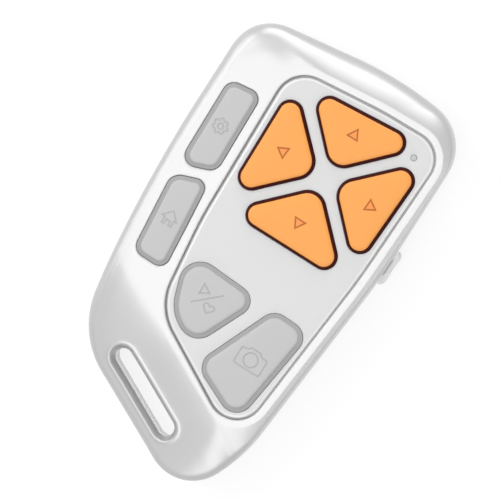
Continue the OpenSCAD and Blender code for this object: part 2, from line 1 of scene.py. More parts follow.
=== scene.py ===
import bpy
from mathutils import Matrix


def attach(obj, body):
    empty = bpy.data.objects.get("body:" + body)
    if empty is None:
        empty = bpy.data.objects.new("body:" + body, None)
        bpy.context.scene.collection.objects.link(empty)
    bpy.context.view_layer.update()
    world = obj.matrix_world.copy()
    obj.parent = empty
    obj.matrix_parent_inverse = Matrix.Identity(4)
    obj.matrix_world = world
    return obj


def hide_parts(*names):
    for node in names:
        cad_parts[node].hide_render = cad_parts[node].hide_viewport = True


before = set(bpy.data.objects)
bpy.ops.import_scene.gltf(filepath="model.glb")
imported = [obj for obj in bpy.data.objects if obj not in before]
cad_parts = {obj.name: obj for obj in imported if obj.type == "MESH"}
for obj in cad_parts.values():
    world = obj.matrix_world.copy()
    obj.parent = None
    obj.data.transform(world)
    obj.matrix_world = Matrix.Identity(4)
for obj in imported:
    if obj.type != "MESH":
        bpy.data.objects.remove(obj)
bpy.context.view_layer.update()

import math
import bpy
import bmesh
import numpy as np
from mathutils import Matrix, Vector
from mathutils.geometry import delaunay_2d_cdt

# Lengths are millimetres until a mesh, light or camera is made
MM = 0.001

# The sizes of the CAD model
BODY_W, BODY_L = 44.4, 80.4
SEAM, RIM = 6.0, 12.3
WALL, TOP_T, BACK_ROUND = 1.6, 1.6, 2.4
PLATE_W, PLATE_L, PLATE_T, PLATE_DROP = 30.4, 60.0, 1.2, 0.3
PLATE_AT = np.array([5.0, 4.5])
PLATE_Z = RIM - PLATE_DROP
LEDGE, LEDGE_W = PLATE_Z - PLATE_T, 0.5
PAD_AT, REACH = np.array([5.0, 19.35]), 14.0
ARROW_TIP_R, ARROW_CORNER_R = 3.3, 2.4
SLOT_AT, SLOT_TURN = np.array([-3.13, -29.909]), math.radians(-27.4)
SLOT_W, SLOT_L, SLOT_WALL = 3.9, 18.2, 0.9
CELL_AT = np.array([-1.51, 13.507])
SWITCH_X, SWITCH_Y, SWITCH_Z, LEAN = 21.809, 11.336, 4.4, math.radians(2.365)
LIGHT_AT, LIGHT_R = (16.102, 30.354), 0.55
SCREWS = [(-15.5, 30.93), (16.9, 33.6), (11.47, -33.51), (-14.5, -16.47)]
SCREW_HEAD_R, SCREW_R, SCREW_SEAT = 1.6, 0.9, 1.5

# Corners as [x, y, radius], anticlockwise: x and radius as shares of the width, y of the length
BODY = [[0.268, -0.539, 0.190], [0.400, -0.374, 0.669], [0.491, 0.113, 2.6], [0.503, 0.482, 0.197],
        [0.131, 0.506, 1.486], [-0.486, 0.465, 0.180], [-0.510, 0.023, 5.7], [-0.434, -0.341, 0.358]]
CROWN = [[0.259, -0.480, 0.146], [0.360, -0.361, 0.560], [0.466, 0.106, 2.5], [0.491, 0.4465, 0.142],
         [0.169, 0.4455, 1.13], [-0.419, 0.423, 0.135], [-0.450, 0.022, 4.5], [-0.378, -0.313, 0.270]]
PLATE = [[0.338, -0.554, 0.171], [0.465, 0.045, 3.98], [0.508, 0.501, 0.165], [0.079, 0.499, 1.592],
         [-0.500, 0.475, 0.184], [-0.498, -0.039, 2.32], [-0.444, -0.328, 0.324]]
PLAY = [[-0.353, -0.342, 0.534], [0.125, -0.612, 0.280], [0.607, 0.446, 0.199], [-0.615, 0.529, 0.293]]
CAMERA = [[-0.576, -0.298, 0.240], [0.301, -0.578, 0.241], [0.533, 0.487, 0.216], [-0.050, 0.505, 0.244]]
SETTINGS = [[0.497, -0.413, 0.364], [0.489, 0.513, 0.288], [-0.482, 0.472, 0.318], [-0.499, -0.553, 0.318]]
HOME = [[0.576, -0.502, 0.303], [0.394, 0.541, 0.273], [-0.574, 0.407, 0.394], [-0.419, -0.496, 0.333]]
# Corners of the arrow windows as shares of their reach, with the inner tip first
ARROWS = {
    "up": [[0, 0.091], [0.910, 1.007], [-0.788, 0.897]],
    "right": [[0.098, 0.001], [0.906, -0.824], [1.006, 0.894]],
    "down": [[0, -0.106], [-0.886, -0.992], [0.898, -1.005]],
    "left": [[-0.091, -0.003], [-0.970, 0.861], [-0.979, -0.880]],
}
# The other windows: corners, width, length and middle
OTHERS = {
    "play": (PLAY, 13.3, 12.702, (-1.414, -10.32)),
    "camera": (CAMERA, 13.194, 19.302, (9.864, -14.46)),
    "settings": (SETTINGS, 6.6, 16.8, (-15.2, 17.331)),
    "home": (HOME, 6.6, 16.8, (-14.7, -0.769)),
}
PLATE_KEYS = ["up", "right", "down", "left", "play", "camera"]
SIDE_KEYS = ["settings", "home"]


def sized(shares, w, l, at):
    """Corners as (x, y, radius) from shares of a width and a length."""
    return [(at[0] + s[0] * w, at[1] + s[1] * l, s[2] * w) for s in shares]


def arrow(shares):
    """Corners of an arrow window."""
    radii = [ARROW_TIP_R, ARROW_CORNER_R, ARROW_CORNER_R]
    return [(PAD_AT[0] + x * REACH, PAD_AT[1] + y * REACH, r) for (x, y), r in zip(shares, radii)]


body = sized(BODY, BODY_W, BODY_L, (0, 0))
crown = sized(CROWN, BODY_W, BODY_L, (0, 0))
plate = sized(PLATE, PLATE_W, PLATE_L, PLATE_AT)
windows = {name: arrow(shares) for name, shares in ARROWS.items()}
windows.update({name: sized(*window) for name, window in OTHERS.items()})


# Outlines, as arrays of points that run anticlockwise
def outline(corners, inset=0.0, arc=14, edge=10, least=0.2):
    """Points of a rounded outline, drawn inwards by inset; the same count for every inset."""
    n = len(corners)
    arcs = []
    for i in range(n):
        here = np.array(corners[i][:2], float)
        a = np.array(corners[i - 1][:2], float)
        b = np.array(corners[(i + 1) % n][:2], float)
        d = (here - a) / np.linalg.norm(here - a)
        e = (b - here) / np.linalg.norm(b - here)
        u, v = np.array([d[1], -d[0]]), np.array([e[1], -e[0]])
        r = max(corners[i][2] - inset, least)
        mid = here - (u + v) / (1 + u @ v) * (inset + r)
        start = math.atan2(u[1], u[0])
        turn = math.acos(min(1.0, float(u @ v)))
        t = start + turn * np.arange(arc + 1) / arc
        arcs.append(mid + r * np.stack([np.cos(t), np.sin(t)], 1))
    out = []
    for i in range(n):
        out.append(arcs[i])
        p, q = arcs[i][-1], arcs[(i + 1) % n][0]
        k = (np.arange(1, edge) / edge)[:, None]
        out.append(p + (q - p) * k)
    return np.concatenate(out)


def stadium(grow=0.0, arc=20, edge=16):
    """The outline of the lanyard slot, drawn outwards by grow."""
    r = SLOT_W / 2 + grow
    h = (SLOT_L - SLOT_W) / 2
    pts = []
    for s in (0, math.pi):
        t = s - math.pi / 2 + math.pi * np.arange(arc + 1) / arc
        pts.append(np.stack([math.cos(s) * h + r * np.cos(t), r * np.sin(t)], 1))
        x = math.cos(s) * h * (1 - 2 * np.arange(1, edge) / edge)
        pts.append(np.stack([x, np.full(edge - 1, r * math.cos(s))], 1))
    p = np.concatenate(pts)
    c, s = math.cos(SLOT_TURN), math.sin(SLOT_TURN)
    return SLOT_AT + p @ np.array([[c, s], [-s, c]])


def circle(at, r, n=48):
    t = 2 * math.pi * np.arange(n) / n
    return np.array(at) + r * np.stack([np.cos(t), np.sin(t)], 1)


def capsule(a, b, r, n=8):
    """A stroke from a to b with round ends."""
    a, b = np.array(a, float), np.array(b, float)
    d = math.atan2(*(b - a)[::-1])
    half = math.pi * np.arange(n + 1) / n
    out = [b + r * np.array([math.cos(t), math.sin(t)]) for t in d - math.pi / 2 + half]
    out += [a + r * np.array([math.cos(t), math.sin(t)]) for t in d + math.pi / 2 + half]
    return np.array(out)


def inside(points, loop):
    """Which points lie inside a closed loop."""
    x, y = points[:, 0], points[:, 1]
    res = np.zeros(len(points), bool)
    ax, ay = loop[:, 0], loop[:, 1]
    bx, by = np.roll(ax, -1), np.roll(ay, -1)
    for i in range(len(loop)):
        if ay[i] == by[i]:
            continue
        cond = (ay[i] > y) != (by[i] > y)
        res ^= cond & (x < (bx[i] - ax[i]) * (y - ay[i]) / (by[i] - ay[i]) + ax[i])
    return res


def dist(points, loop):
    """The distance of each point from a closed loop."""
    points = np.atleast_2d(points)
    a, b = loop, np.roll(loop, -1, 0)
    best = np.full(len(points), 1e9)
    for i in range(len(loop)):
        ab = b[i] - a[i]
        t = np.clip(((points - a[i]) @ ab) / max(ab @ ab, 1e-12), 0, 1)
        best = np.minimum(best, np.linalg.norm(points - a[i] - t[:, None] * ab, axis=1))
    return best


def outside(points, loop):
    """The distance of each point outside a closed loop, or 0 inside it."""
    return np.where(inside(np.atleast_2d(points), loop), 0.0, dist(points, loop))


def smooth(a, b, x):
    """A step from 0 at a to 1 at b."""
    t = np.clip((x - a) / (b - a), 0, 1)
    return t * t * (3 - 2 * t)


def at_z(p, z):
    """An outline lifted to one height or to a height for each point; bands on it face outwards."""
    return np.column_stack([p, np.broadcast_to(z, len(p))])


def hole_z(p, z):
    """The same run clockwise; bands on it face into the outline."""
    return at_z(p, z)[::-1]


def shade(mesh, angle):
    """Smooth shading, with edges sharper than angle left sharp."""
    mesh.polygons.foreach_set("use_smooth", [True] * len(mesh.polygons))
    mesh.set_sharp_from_angle(angle=math.radians(angle))


# Points nearer than MERGE become one, and a triangle is dropped whose doubled area is below the least
MERGE, LEAST_AREA, CDT_EPS = 0.002, 1e-4, 1e-5
# Room between a sheet's lattice points and its loops, as a share of the lattice's step
LATTICE_ROOM = 0.45
# Edges that turn by more than this many degrees are shaded sharp
SHARP = 38


class Sheet:
    """Collects faces in millimetres and turns them into one Blender object."""

    def __init__(self, name):
        self.name, self.v, self.f, self.m = name, [], [], []

    def add(self, verts, faces, mat=0):
        k = len(self.v)
        self.v += [tuple(map(float, p)) for p in verts]
        for i, f in enumerate(faces):
            self.f.append([k + j for j in f])
            self.m.append(mat if isinstance(mat, int) else int(mat[i]))

    def band(self, low, high, mat=0):
        """Quads between two closed rings of [x, y, z] of equal count."""
        n = len(low)
        quads = [[j, (j + 1) % n, n + (j + 1) % n, n + j] for j in range(n)]
        self.add(list(low) + list(high), quads, mat)

    def rings(self, rings, mats=0):
        for i in range(len(rings) - 1):
            self.band(rings[i], rings[i + 1], mats if isinstance(mats, int) else mats[i])

    def fill(self, loops, outer, holes, z, step=0.0, mats=None, down=False):
        """A triangulated sheet between outer and holes that holds loops, given as (points, heights).
        A step adds a lattice of points, whose heights z gives. From the middles of the triangles
        mats gives their materials."""
        pts, heights, edges = [], [], []
        for p, h in loops:
            k = len(pts)
            pts += [tuple(q) for q in p]
            heights += list(np.broadcast_to(h, len(p)))
            edges += [(k + i, k + (i + 1) % len(p)) for i in range(len(p))]
        if step:
            lo, hi = outer.min(0), outer.max(0)
            xs = np.arange(lo[0] + step / 2, hi[0], step)
            ys = np.arange(lo[1] + step / 2, hi[1], step)
            g = np.array([(x + (step / 2 if j % 2 else 0), y) for j, y in enumerate(ys) for x in xs])
            g = g[inside(g, outer)]
            for h in holes:
                g = g[~inside(g, h)]
            for p, _ in loops:
                g = g[dist(g, np.asarray(p)) >= step * LATTICE_ROOM]
            pts += [tuple(q) for q in g]
            heights += list(z(g)) if len(g) else []
        vo, _, fo, ov, _, _ = delaunay_2d_cdt([Vector(p) for p in pts], edges, [], 0, CDT_EPS)
        vo = np.array([(v.x, v.y) for v in vo])
        vz = np.array([heights[o[0]] if o else float(z(vo[i:i + 1])[0]) for i, o in enumerate(ov)])
        tri = [list(f) for f in fo if len(f) == 3]
        cen = np.array([vo[f].mean(0) for f in tri])
        keep = inside(cen, outer)
        for h in holes:
            keep &= ~inside(cen, h)
        m = mats(cen) if mats is not None else np.zeros(len(cen), int)
        faces, face_mats = [], []
        for f, kept, mi in zip(tri, keep, m):
            a, b, c = vo[f[0]], vo[f[1]], vo[f[2]]
            area = (b[0] - a[0]) * (c[1] - a[1]) - (b[1] - a[1]) * (c[0] - a[0])
            if kept and abs(area) >= LEAST_AREA:
                faces.append(f if (area > 0) != down else f[::-1])
                face_mats.append(mi)
        used = sorted({i for f in faces for i in f})
        where = {u: i for i, u in enumerate(used)}
        verts = [(vo[u][0], vo[u][1], vz[u]) for u in used]
        self.add(verts, [[where[i] for i in f] for f in faces], face_mats)

    def flat(self, outer, holes, height, step=0.0, down=False):
        """A level sheet at one height."""
        loops = [(p, height) for p in [outer] + holes]
        self.fill(loops, outer, holes, lambda q: np.full(len(q), height), step, down=down)

    def build(self, materials, angle=SHARP):
        me = bpy.data.meshes.new(self.name)
        me.from_pydata([(x * MM, y * MM, z * MM) for x, y, z in self.v], [], self.f)
        me.polygons.foreach_set("material_index", self.m)
        bm = bmesh.new()
        bm.from_mesh(me)
        bmesh.ops.remove_doubles(bm, verts=bm.verts, dist=MERGE * MM)
        bmesh.ops.dissolve_degenerate(bm, dist=1e-7, edges=bm.edges)
        bm.to_mesh(me)
        bm.free()
        shade(me, angle)
        for m in materials:
            me.materials.append(m)
        o = bpy.data.objects.new(self.name, me)
        bpy.context.scene.collection.objects.link(o)
        return o


# Materials
def srgb(r, g, b):
    """A linear colour from sRGB levels of 0 to 255."""
    shares = [c / 255 for c in (r, g, b)]
    return tuple(s / 12.92 if s <= 0.04 else ((s + 0.055) / 1.055) ** 2.4 for s in shares) + (1.0,)


def level(c):
    return srgb(c, c, c)


def material(name, color, rough=0.4, vary=0.03, scale=900.0, bump=0.02, bump_scale=2500.0, coat=0.0,
             coat_rough=0.1, metallic=0.0, specular=0.5, rough_vary=0.05, sss=0.0, brushed=False):
    """A plastic or metal whose colour and gloss vary by a soft noise and whose surface has a fine grain."""
    m = bpy.data.materials.new(name)
    m.use_nodes = True
    nodes, links = m.node_tree.nodes, m.node_tree.links
    bsdf = nodes["Principled BSDF"]
    bsdf.inputs["Metallic"].default_value = metallic
    bsdf.inputs["Specular IOR Level"].default_value = specular
    bsdf.inputs["Coat Weight"].default_value = coat
    bsdf.inputs["Coat Roughness"].default_value = coat_rough
    bsdf.inputs["Subsurface Weight"].default_value = sss
    bsdf.inputs["Subsurface Scale"].default_value = 0.8 * MM
    where = nodes.new("ShaderNodeTexCoord").outputs["Object"]
    if brushed:
        stretch = nodes.new("ShaderNodeMapping")
        stretch.inputs["Scale"].default_value = (1.0, 14.0, 1.0)
        links.new(where, stretch.inputs["Vector"])
        where = stretch.outputs["Vector"]

    def noise(size, detail):
        n = nodes.new("ShaderNodeTexNoise")
        n.inputs["Scale"].default_value = size
        n.inputs["Detail"].default_value = detail
        links.new(where, n.inputs["Vector"])
        return n.outputs["Fac"]

    def ranged(value, low, high):
        n = nodes.new("ShaderNodeMapRange")
        n.inputs["To Min"].default_value = low
        n.inputs["To Max"].default_value = high
        links.new(value, n.inputs["Value"])
        return n.outputs["Result"]

    cloud = noise(scale, 4.0)
    tint = nodes.new("ShaderNodeVectorMath")
    tint.operation = "SCALE"
    tint.inputs[0].default_value = color[:3]
    links.new(ranged(cloud, 1 - vary, 1 + vary), tint.inputs["Scale"])
    links.new(tint.outputs["Vector"], bsdf.inputs["Base Color"])
    links.new(ranged(cloud, max(0.02, rough - rough_vary), rough + rough_vary), bsdf.inputs["Roughness"])
    relief = nodes.new("ShaderNodeBump")
    relief.inputs["Strength"].default_value = bump
    relief.inputs["Distance"].default_value = 0.2 * MM
    links.new(noise(bump_scale, 3.0), relief.inputs["Height"])
    links.new(relief.outputs["Normal"], bsdf.inputs["Normal"])
    return m


white = material("white_shell_look", level(196), rough=0.38, vary=0.006, bump=0.008, metallic=0.45,
                 coat=0.3, coat_rough=0.15)
# A lighter, glossier copy of the shell's plastic on the slot's walls: painted light that lifts the shade
# inside the slot
slot_wall_painted_light = material("slot_wall_painted_light_look", level(246), rough=0.2, vary=0.006, bump=0.008, specular=0.8, coat=0.6)
knob_white = material("knob_look", srgb(252, 250, 251), rough=0.3, vary=0.006, bump=0.01, coat=0.4)
plate_grey = material("plate_look", level(219), rough=0.5, vary=0.01, bump=0.03, bump_scale=4200)
# A lighter grey on the plate's rolled edge: a painted highlight along the edge
plate_edge_painted_highlight = material("plate_edge_painted_highlight_look", level(240), rough=0.25, vary=0.01, bump=0.01, coat=0.5)
# A darker grey on the plate's side down into the groove: painted shade for the groove's dark line
groove = material("plate_groove_painted_shade_look", level(200), rough=0.6, vary=0.02)
orange = material("arrow_key_top", srgb(250, 169, 86), rough=0.5, vary=0.015, bump=0.03, specular=0.35,
                  sss=0.05)
# The arrow keys' sides: a dark maroon that is painted shade, drawing the dark outline round each arrow key
arrow_side_painted_shade = material("arrow_key_side_painted_shade", srgb(62, 6, 1), rough=0.6, vary=0.1, bump=0.03, specular=0.15)
arrow_line = material("arrow_mark_line", srgb(190, 104, 34), rough=0.55, vary=0.04)
arrow_face = material("arrow_mark_face", srgb(246, 152, 74), rough=0.5, vary=0.02)
grey = material("grey_key_top", level(193), rough=0.48, vary=0.012, bump=0.03, bump_scale=4200)
# The grey keys' sides: a darker grey that is painted shade on the sunken ring round each grey key
grey_side_painted_shade = material("grey_key_side_painted_shade", level(162), rough=0.55, vary=0.03)
grey_line = material("grey_mark_line", level(182), rough=0.6, vary=0.03)
board_green = material("board_look", srgb(22, 92, 48), rough=0.35, vary=0.08, scale=600, coat=0.4)
black = material("dark_plastic_look", srgb(34, 34, 36), rough=0.5, vary=0.1)
steel = material("steel_look", srgb(196, 196, 198), rough=0.3, vary=0.06, scale=1200, metallic=1.0,
                 brushed=True)
brass = material("contact_look", srgb(212, 176, 96), rough=0.3, vary=0.05, metallic=1.0)
ceramic = material("ceramic_look", srgb(196, 176, 140), rough=0.6, vary=0.08)
milky = material("light_guide_look", srgb(178, 178, 179), rough=0.25, vary=0.02, coat=0.5)

# The CAD solids that are shown as they are
looks = {"circuit_board": board_green, "radio_chip": black, "crystal": steel, "antenna": ceramic,
         "capacitors": ceramic, "status_led": milky, "light_pipe": milky, "coin_cell": steel,
         "contact_positive": brass, "contact_negative": brass, "power_switch": black, "case_screws": steel}
for name in windows:
    looks["plunger_" + name] = black
    looks["switch_" + name] = black
for name, look in looks.items():
    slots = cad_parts[name].data.materials
    slots.clear()
    slots.append(look)


# The front shell: shoulder, top, windows, slot and the bead round the face plate
BEAD = 1.3
SEAM_EASE, MOUTH_EASE = 0.09, 0.07
# Where the bead's level rim ends, and over which width the fall towards the slot sets in past it
RIM_OUT, RIM_FADE = 0.3, 1.1
# The fall towards the slot: how far before the slot it starts, its slope and its soft start
CREASE, FALL, BLEND = 9.6, 0.35, 5.5
# Along the slot the start gets shorter over the first zone, and the fall weaker over the second
BLEND_LESS, BLEND_ZONE = 3.5, (-14.0, -3.0)
FALL_LESS, FALL_ZONE = 0.2, (8.0, 18.0)
bead_out = outline(plate, -BEAD)
rim_line = outline(plate, -RIM_OUT)
body_ring = outline(body, 0)


def fall(p):
    """How far the top lies below the rim on the slope towards the slot."""
    d = np.atleast_2d(p) - SLOT_AT
    down_slope = np.array([math.sin(SLOT_TURN), -math.cos(SLOT_TURN)])
    q = np.maximum(0, d @ down_slope + CREASE)
    along = d @ np.array([math.cos(SLOT_TURN), math.sin(SLOT_TURN)])
    soft = BLEND - BLEND_LESS * smooth(*BLEND_ZONE, along)
    return FALL * q * q / (q + soft) * (1 - FALL_LESS * smooth(*FALL_ZONE, along))


def pushed_crown(bead_room=0.45, slot_room=1.5, most=0.8, least=0.1, spread=6):
    """The line where the shoulder starts: the crown, moved out to make room for bead and slot lip."""
    cr = outline(crown, 0)
    way = body_ring - cr
    share = np.zeros(len(cr))
    slot = stadium(0)
    for f in np.linspace(0, most, 33)[::-1]:
        q = cr + way * f
        fine = (outside(q, bead_out) >= bead_room) & (outside(q, slot) >= slot_room)
        share = np.where(fine, f, share)
    share = np.maximum(share, least)
    wide = np.array([np.roll(share, k) for k in range(-spread, spread + 1)]).max(0)
    kernel = np.hanning(2 * spread + 3)[1:-1]
    kernel /= kernel.sum()
    ringed = np.concatenate([wide[-spread:], wide, wide[:spread]])
    return cr + way * np.convolve(ringed, kernel, "valid")[:, None]


crown_ring = pushed_crown()

# The shoulder line: along the bead from the chin to the plate's top left, then over the ridge to the left
RUN_END, RUN_START = (-5.0, 34.8), (12.0, -29.3)
RIDGE = [(-9.8, 35.0), (-12.9, 35.5), (-15.8, 36.2), (-18.0, 36.9), (-31.0, 41.5)]
# Points far outside that close the area, and the last ones lead back over the chin
AROUND = [(-70, 43), (-70, -80), (-4.0, -60), (5.0, -42.0), (8.3, -37.3), (10.6, -33.2)]
top_i = int(np.argmin(np.linalg.norm(bead_out - np.array(RUN_END), axis=1)))
low_i = int(np.argmin(np.linalg.norm(bead_out - np.array(RUN_START), axis=1)))
run = np.roll(bead_out, -low_i, 0)[:((top_i - low_i) % len(bead_out)) + 1]
near_side = np.concatenate([run, RIDGE, AROUND])
# The same ridge as a thin closed loop
THIN = [0, 0.05]
crease = np.concatenate([run[-1:], RIDGE, np.array(RIDGE[::-1]) + THIN, run[-1:] + THIN])

# The roll past that line: its slope, the distance that doubles it, less at the top, and its soft start at
# the chin, with the zones along the body in which top, chin and the end of the roll set in
ROLL, ROLL_BEND, ROLL_LESS, ROLL_SOFT = 0.26, 7, 2.5, 3.0
ROLL_TOP, ROLL_CHIN, ROLL_END = (28.0, 35.0), (24.0, 30.0), (-47.0, -40.0)
# The bend that rounds the ridge at the top left corner: its depth, width and where it sets in
BEND, BEND_W, BEND_X, BEND_Y = 0.6, 4.0, (9.5, 13.5), (24, 30)
# The rolled left edge: depth for the square of its width, width, where it sets in and how that moves
# towards the middle below LEFT_Y
LEFT, LEFT_W, LEFT_X, LEFT_LEAN, LEFT_Y = 0.03, 2.6, (13.0, 17.0), 0.25, -18


def top_z(p):
    """Height of the top before the shell is lowered."""
    p = np.atleast_2d(p)
    return RIM - fall(p) * smooth(0.0, RIM_FADE, outside(p, rim_line))


def sunk(p):
    """How far the roll past the shoulder line and the rolled left edge lower the shell at a point."""
    p = np.atleast_2d(p)
    x, y = p[:, 0], p[:, 1]
    past = outside(p, near_side)
    d = past * past / (past + ROLL_SOFT * smooth(*ROLL_CHIN, -y) + 1e-9)
    roll = ROLL * d * (1 + d / (ROLL_BEND - ROLL_LESS * smooth(*ROLL_TOP, y))) * smooth(*ROLL_END, y)
    bend = BEND / BEND_W ** 2 * np.maximum(0, BEND_W - dist(p, crease)) ** 2
    bend = np.where(past > 0, BEND, bend) * smooth(*BEND_X, -x) * smooth(*BEND_Y, y)
    deep = np.where(inside(p, crown_ring), dist(p, crown_ring), 0.0)
    left = smooth(*LEFT_X, -x - LEFT_LEAN * np.minimum(0, y - LEFT_Y))
    return roll + bend + LEFT * np.maximum(0, LEFT_W - deep) ** 2 * left


def lowered(z, p):
    """A height of the front shell lowered at a point, in proportion to its height over the seam."""
    return SEAM + (z - SEAM) * (1 - sunk(p) / (RIM - SEAM))


def shell_z(p):
    return lowered(top_z(p), p)


# Fullness of the shoulder's curve at the left, and how much fuller it is at the right and at the top
FULL, FULLER, FULL_RIGHT, FULL_TOP = 2.35, 1.8, (2.0, 12.0), (30.0, 35.0)
# Step over which the top's slope is measured, and the least slope
SLOPE_STEP, LEAST_SLOPE = 0.25, 0.03


def shoulder(turns):
    """Rings from the crown down to the seam, leaving the top at its own slope and turning over outside."""
    cr = crown_ring
    w = np.linalg.norm(body_ring - cr, axis=1)
    back_off = cr - (body_ring - cr) / w[:, None] * SLOPE_STEP
    z0 = top_z(cr)
    slope = np.maximum((top_z(back_off) - z0) / SLOPE_STEP, LEAST_SLOPE)
    h = z0 - SEAM
    power = FULL + FULLER * np.maximum(smooth(*FULL_RIGHT, cr[:, 0]), smooth(*FULL_TOP, cr[:, 1]))
    res = []
    for t in turns:
        a = t * math.pi / 2
        f = math.sin(a) ** (2 / power)
        turned = 1 - math.cos(a) ** (2 / power) if t < 1 else 1.0
        drop = slope * w * f + (h - slope * w) * turned
        q = cr * (1 - f)[:, None] + body_ring * f[:, None]
        res.append(np.column_stack([q, lowered(z0 - drop, q)]))
    return res


# Edges as (distance out of the outline, depth or height); the slot narrows to its throat and flares behind
RECESS_LIP = [(0.22, 0.0), (0.12, 0.025), (0.04, 0.09), (0.0, 0.2)]
KEY_LIP = [(0.3, 0.0), (0.16, 0.03), (0.05, 0.12), (0.0, 0.26)]
THROAT, THROAT_DEPTH, BACK_MOUTH = -0.3, 1.75, 0.35
SLOT_LIP = [(1.25, 0.0), (1.06, 0.04), (0.88, 0.11), (0.74, 0.14), (0.6, 0.12), (0.48, 0.02),
            (0.36, -0.14), (0.2, -0.42), (0.04, -0.75), (-0.12, -1.1), (-0.24, -1.45),
            (THROAT, -THROAT_DEPTH)]
# Rows of points inside and outside the bead's outer line, and the steps of the lattices
BEAD_IN, BEAD_OUT = 0.1, 0.12
FRONT_STEP, INSIDE_STEP = 0.62, 2.5

front = Sheet("front_shell_visual")
recess = outline(plate, 0)
slot, mouth, throat, tube = stadium(0), stadium(MOUTH_EASE), stadium(THROAT), stadium(SLOT_WALL)
side_windows = [outline(windows[name], 0) for name in SIDE_KEYS]
loops = [(crown_ring, shell_z(crown_ring))]
for g in (BEAD - BEAD_IN, BEAD, BEAD + BEAD_OUT):
    p = outline(plate, -g)
    loops.append((p, shell_z(p)))
for g, d in RECESS_LIP:
    loops.append((outline(plate, -g), RIM - d))
for name in SIDE_KEYS:
    for g, d in KEY_LIP:
        p = outline(windows[name], -g)
        loops.append((p, shell_z(p) - d))
for g, d in SLOT_LIP:
    p = stadium(g)
    loops.append((p, shell_z(p) + d))
front.fill(loops, crown_ring, [recess] + side_windows + [throat], shell_z, step=FRONT_STEP)

sh = shoulder(np.linspace(0, 1, 31) ** 1.15)
seam_in = at_z(outline(body, SEAM_EASE), SEAM)
sh[-1][:, 2] = SEAM + SEAM_EASE
front.rings([seam_in] + sh[::-1])
wall = outline(body, WALL)
front.band(at_z(wall, SEAM), seam_in)
front.band(hole_z(recess, LEDGE), hole_z(recess, RIM - RECESS_LIP[-1][1]))
# Its inside: the windows' and the slot's walls, the outer wall and the ceiling
opening = outline(plate, LEDGE_W)
for p in side_windows:
    front.band(hole_z(p, shell_z(p) - TOP_T), hole_z(p, shell_z(p) - KEY_LIP[-1][1]))
front.band(hole_z(opening, shell_z(opening) - TOP_T), hole_z(opening, LEDGE))
front.band(at_z(tube, SEAM), at_z(tube, shell_z(tube) - TOP_T))
front.flat(tube, [mouth], SEAM, down=True)
front.band(hole_z(wall, SEAM), hole_z(crown_ring, shell_z(crown_ring) - TOP_T))
ceiling = [opening, tube] + side_windows
front.fill([(q, shell_z(q) - TOP_T) for q in [crown_ring] + ceiling], crown_ring, ceiling,
           lambda q: shell_z(q) - TOP_T, step=INSIDE_STEP, down=True)
front.band(hole_z(mouth, SEAM), hole_z(slot, SEAM + MOUTH_EASE))
# The slot's wall takes material 1, the lighter copy of the shell's plastic: painted light against the shade
# in the slot
front.band(hole_z(slot, SEAM + MOUTH_EASE), hole_z(throat, shell_z(throat) - THROAT_DEPTH), 1)
front.flat(recess, [opening], LEDGE)
front_shell = front.build([white, slot_wall_painted_light])
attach(front_shell, "housing")
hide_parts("front_shell")

# The rear shell: rounded side, flat back with the battery opening, counterbores and the slot
BORE_R, BAYONET_R, BAYONET_HALF, TAB_TURN, DOOR_TURN = 12.0, 13.3, 15, 30, 50
WELL_FLOOR, WELL_TOP, WELL_R, WELL_OUT_R = 1.4, 5.0, 13.4, 14.3
REAR_FLOOR, REAR_FOOT, REAR_FOOT_TOP = 2.0, 2.1, 3.2
HEAD_LIP = [(0.18, 0.0), (0.05, 0.04), (0.0, 0.16)]
BACK_LIP = [(0.34, 0.0), (0.22, 0.06), (0.08, 0.22), (0.0, 0.45)]
BACK_STEP = 1.6


def bore_loop(steps=16):
    """The battery opening: a circle with three bayonet notches."""
    third, half = 2 * math.pi / 3, math.radians(BAYONET_HALF)
    pts = []
    for k in range(3):
        mid = math.radians(TAB_TURN + 120 * k - DOOR_TURN)
        a0, a1 = mid - half, mid + half
        pts += [(BAYONET_R, a) for a in np.linspace(a0, a1, steps)]
        pts += [(BORE_R, a) for a in np.linspace(a1, a0 + third, 3 * steps)]
    return np.array([(CELL_AT[0] + r * math.cos(a), CELL_AT[1] + r * math.sin(a)) for r, a in pts])


rear = Sheet("rear_shell_visual")
side = []
for a in np.radians(np.linspace(90, 0, 15)):
    side.append(at_z(outline(body, BACK_ROUND * (1 - math.sin(a))), SEAM * (1 - math.cos(a))))
side[0][:, 2] = SEAM - SEAM_EASE
rear.rings(side[::-1] + [seam_in])
rear.band(seam_in, at_z(wall, SEAM))
base, bore, back_mouth = outline(body, BACK_ROUND), bore_loop(), stadium(BACK_MOUTH)
heads = [circle(s, SCREW_HEAD_R) for s in SCREWS]
shanks = [circle(s, SCREW_R) for s in SCREWS]
loops = [(base, 0.0), (bore, 0.0)]
loops += [(circle(s, SCREW_HEAD_R + g), z) for s in SCREWS for g, z in HEAD_LIP]
loops += [(stadium(g + BACK_MOUTH), z) for g, z in BACK_LIP]
rear.fill(loops, base, [bore] + heads + [back_mouth], lambda q: np.zeros(len(q)), step=BACK_STEP, down=True)
rear.band(hole_z(bore, 0.0), hole_z(bore, WELL_FLOOR))
for head, shank in zip(heads, shanks):
    rear.band(hole_z(head, HEAD_LIP[-1][1]), hole_z(head, SCREW_SEAT))
    rear.flat(head, [shank], SCREW_SEAT, down=True)
# The slot's wall takes material 1, the lighter copy of the shell's plastic: painted light against the shade
# in the slot
rear.band(hole_z(back_mouth, BACK_LIP[-1][1]), hole_z(slot, SEAM - MOUTH_EASE), 1)
rear.band(hole_z(slot, SEAM - MOUTH_EASE), hole_z(mouth, SEAM))
